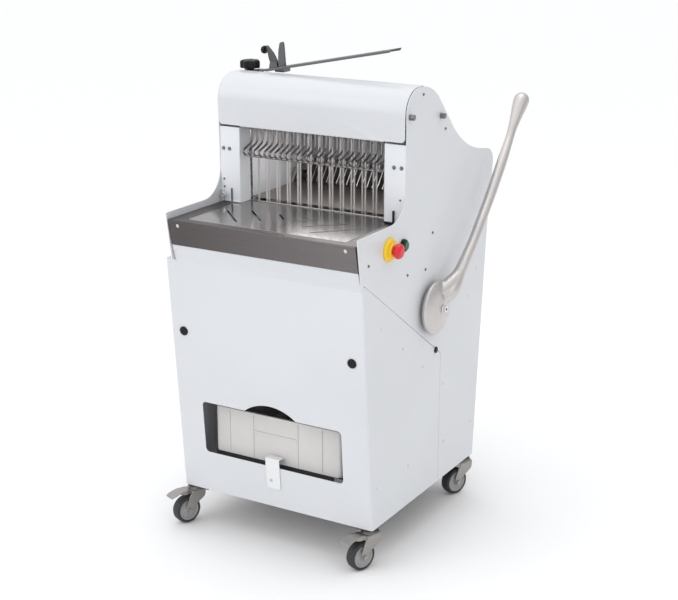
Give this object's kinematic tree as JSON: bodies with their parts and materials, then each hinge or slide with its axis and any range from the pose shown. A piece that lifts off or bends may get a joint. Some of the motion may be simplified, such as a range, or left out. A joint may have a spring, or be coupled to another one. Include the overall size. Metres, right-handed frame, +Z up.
{
  "type": "bread slicer",
  "caption": "Floor-standing bread slicer: a long side lever swings a pusher comb through two reciprocating blade frames, with a steel table, hood, crumb crate and castors.",
  "frame": {"origin": "middle of the bounding box in plan, on the floor under the wheels", "axes": "+Z up; +X to the lever side, on the operator's right; -Y towards the operator and the table"},
  "size_m": [0.7212, 0.8789, 1.3521],
  "materials": {
    "cabinet_enamel": "smooth satin powder coat, cool white",
    "table_steel": "brushed stainless steel",
    "lever_metal": "satin cast aluminium, lightly polished",
    "frame_paint": "grey enamel",
    "bare_steel": "bright turned and plated steel",
    "blade_steel": "ground blade steel",
    "cast_grey": "machined grey iron",
    "motor_paint": "semi-gloss enamel",
    "guide_plastic": "machined white plastic",
    "black_plastic": "fine texture",
    "belt_rubber": "matt",
    "crate_plastic": "moulded, light grey",
    "yellow_plastic": "smooth",
    "red_plastic": "smooth",
    "green_plastic": "smooth",
    "zinc_plate": "zinc plated pressed steel",
    "wheel_grey": "moulded",
    "tyre_rubber": "matt"
  },
  "bodies": {
    "chassis": {"base_frame": "frame_paint", "castor_stems": "zinc_plate", "right_side_panel": "cabinet_enamel", "left_side_panel": "cabinet_enamel", "front_cover": "cabinet_enamel", "cover_locks": "black_plastic", "rear_panel": "cabinet_enamel", "table_frame": "table_steel", "table_insert": "table_steel", "loading_deck": "table_steel", "deck_subframe": "frame_paint", "opening_jambs": "cabinet_enamel", "hinge_pins": "bare_steel", "top_rear_cover": "cabinet_enamel", "motor": "motor_paint", "drive_belt": "belt_rubber", "flange_bearings": "cast_grey", "frame_guides": "guide_plastic", "crate_runners": "frame_paint", "estop_base": "yellow_plastic", "start_bezel": "black_plastic", "panel_screws": "bare_steel", "side_stops": "bare_steel", "tray_pedestal": "bare_steel"},
    "lever": {"hand_lever": "lever_metal", "lever_shaft": "bare_steel", "pusher_comb": "bare_steel"},
    "front_knife": {"front_knife_frame": "bare_steel", "front_blades": "blade_steel", "front_connecting_rod": "bare_steel"},
    "rear_knife": {"rear_knife_frame": "bare_steel", "rear_blades": "blade_steel", "rear_connecting_rod": "bare_steel"},
    "crank": {"crankshaft": "bare_steel", "crank_pulley": "cast_grey"},
    "motor_drive": {"motor_pulley": "cast_grey"},
    "comb": {"hold_down_comb": "bare_steel"},
    "hood": {"hood_cover": "cabinet_enamel"},
    "lid": {"rear_lid": "cabinet_enamel"},
    "crate": {"crumb_crate": "crate_plastic", "crate_clip": "bare_steel"},
    "emergency_stop": {"estop_button": "red_plastic"},
    "start": {"start_button": "green_plastic"},
    "knob": {"star_knob": "black_plastic"},
    "tray": {"bagging_tray": "bare_steel"},
    "finger": {"clamp_finger": "black_plastic"},
    "castor_front_left": {"castor_fork_front_left": "zinc_plate"},
    "wheel_front_left": {"wheel_rim_front_left": "wheel_grey", "wheel_tyre_front_left": "tyre_rubber"},
    "brake_front_left": {"brake_pedal_front_left": "black_plastic"},
    "castor_front_right": {"castor_fork_front_right": "zinc_plate"},
    "wheel_front_right": {"wheel_rim_front_right": "wheel_grey", "wheel_tyre_front_right": "tyre_rubber"},
    "brake_front_right": {"brake_pedal_front_right": "black_plastic"},
    "castor_rear_left": {"castor_fork_rear_left": "zinc_plate"},
    "wheel_rear_left": {"wheel_rim_rear_left": "wheel_grey", "wheel_tyre_rear_left": "tyre_rubber"},
    "castor_rear_right": {"castor_fork_rear_right": "zinc_plate"},
    "wheel_rear_right": {"wheel_rim_rear_right": "wheel_grey", "wheel_tyre_rear_right": "tyre_rubber"}
  },
  "joints": [
    {"name": "lever_pull", "type": "hinge", "parent": "chassis", "child": "lever", "pos_m": [-0.00658, -0.03462, 0.656], "axis": [1, 0, 0], "range_deg": [0, 49]},
    {"name": "front_knife_slide", "type": "slide", "parent": "chassis", "child": "front_knife", "axis": [0, 0, 1], "range_m": [-0.015, 0.015]},
    {"name": "rear_knife_slide", "type": "slide", "parent": "chassis", "child": "rear_knife", "axis": [0, 0, 1], "range_m": [-0.0155, 0.0155]},
    {"name": "crank_turn", "type": "hinge", "parent": "chassis", "child": "crank", "pos_m": [-0.00658, -0.11762, 0.44], "axis": [1, 0, 0], "range_deg": [-34.5, 34.5]},
    {"name": "motor_turn", "type": "hinge", "parent": "chassis", "child": "motor_drive", "pos_m": [0.19842, 0.13238, 0.206], "axis": [1, 0, 0], "range_deg": [-74, 74]},
    {"name": "comb_height", "type": "slide", "parent": "chassis", "child": "comb", "axis": [0, 0, 1], "range_m": [-0.05, 0.02]},
    {"name": "hood_hinge", "type": "hinge", "parent": "chassis", "child": "hood", "pos_m": [-0.00707, -0.09062, 1.261], "axis": [-1, 0, 0], "range_deg": [0, 70]},
    {"name": "lid_hinge", "type": "hinge", "parent": "chassis", "child": "lid", "pos_m": [-0.00707, 0.08188, 1.1315], "axis": [1, 0, 0], "range_deg": [0, 55]},
    {"name": "crate_slide", "type": "slide", "parent": "chassis", "child": "crate", "axis": [0, -1, 0], "range_m": [0, 0.36]},
    {"name": "estop_press", "type": "slide", "parent": "chassis", "child": "emergency_stop", "axis": [-1, 0, 0], "range_m": [0, 0.004], "stiffness_N_per_m": 1500},
    {"name": "start_press", "type": "slide", "parent": "chassis", "child": "start", "axis": [-1, 0, 0], "range_m": [0, 0.003], "stiffness_N_per_m": 800},
    {"name": "knob_turn", "type": "hinge", "parent": "chassis", "child": "knob", "pos_m": [-0.28158, -0.05262, 1.284], "axis": [0, 0, 1], "continuous": true},
    {"name": "tray_swivel", "type": "hinge", "parent": "chassis", "child": "tray", "pos_m": [-0.28158, -0.05262, 1.266], "axis": [0, 0, 1], "range_deg": [0, 75]},
    {"name": "finger_tilt", "type": "hinge", "parent": "tray", "child": "finger", "pos_m": [-0.20158, -0.05262, 1.287], "axis": [0, 1, 0], "range_deg": [-15, 25]},
    {"name": "swivel_front_left", "type": "hinge", "parent": "chassis", "child": "castor_front_left", "pos_m": [-0.30938, -0.32992, 0.1], "axis": [0, 0, 1], "continuous": true},
    {"name": "roll_front_left", "type": "hinge", "parent": "castor_front_left", "child": "wheel_front_left", "pos_m": [-0.32179, -0.36049, 0.04], "axis": [0.9265, -0.3762, 0], "continuous": true},
    {"name": "brake_front_left", "type": "hinge", "parent": "castor_front_left", "child": "brake_front_left", "pos_m": [-0.32066, -0.35771, 0.101], "axis": [0.9265, -0.3762, 0], "range_deg": [0, 10]},
    {"name": "swivel_front_right", "type": "hinge", "parent": "chassis", "child": "castor_front_right", "pos_m": [0.26622, -0.32992, 0.1], "axis": [0, 0, 1], "continuous": true},
    {"name": "roll_front_right", "type": "hinge", "parent": "castor_front_right", "child": "wheel_front_right", "pos_m": [0.25381, -0.36049, 0.04], "axis": [0.9265, -0.3762, 0], "continuous": true},
    {"name": "brake_front_right", "type": "hinge", "parent": "castor_front_right", "child": "brake_front_right", "pos_m": [0.25494, -0.35771, 0.101], "axis": [0.9265, -0.3762, 0], "range_deg": [0, 10]},
    {"name": "swivel_rear_left", "type": "hinge", "parent": "chassis", "child": "castor_rear_left", "pos_m": [-0.30938, 0.23818, 0.1], "axis": [0, 0, 1], "continuous": true},
    {"name": "roll_rear_left", "type": "hinge", "parent": "castor_rear_left", "child": "wheel_rear_left", "pos_m": [-0.32179, 0.20761, 0.04], "axis": [0.9265, -0.3762, 0], "continuous": true},
    {"name": "swivel_rear_right", "type": "hinge", "parent": "chassis", "child": "castor_rear_right", "pos_m": [0.26622, 0.23818, 0.1], "axis": [0, 0, 1], "continuous": true},
    {"name": "roll_rear_right", "type": "hinge", "parent": "castor_rear_right", "child": "wheel_rear_right", "pos_m": [0.25381, 0.20761, 0.04], "axis": [0.9265, -0.3762, 0], "continuous": true}
  ],
  "couplings": [
    {"joint": "rear_knife_slide", "follows": "front_knife_slide", "ratio": -1},
    {"joint": "crank_turn", "follows": "front_knife_slide", "rad_per_m": 40},
    {"joint": "motor_turn", "follows": "front_knife_slide", "rad_per_m": 85.714}
  ]
}
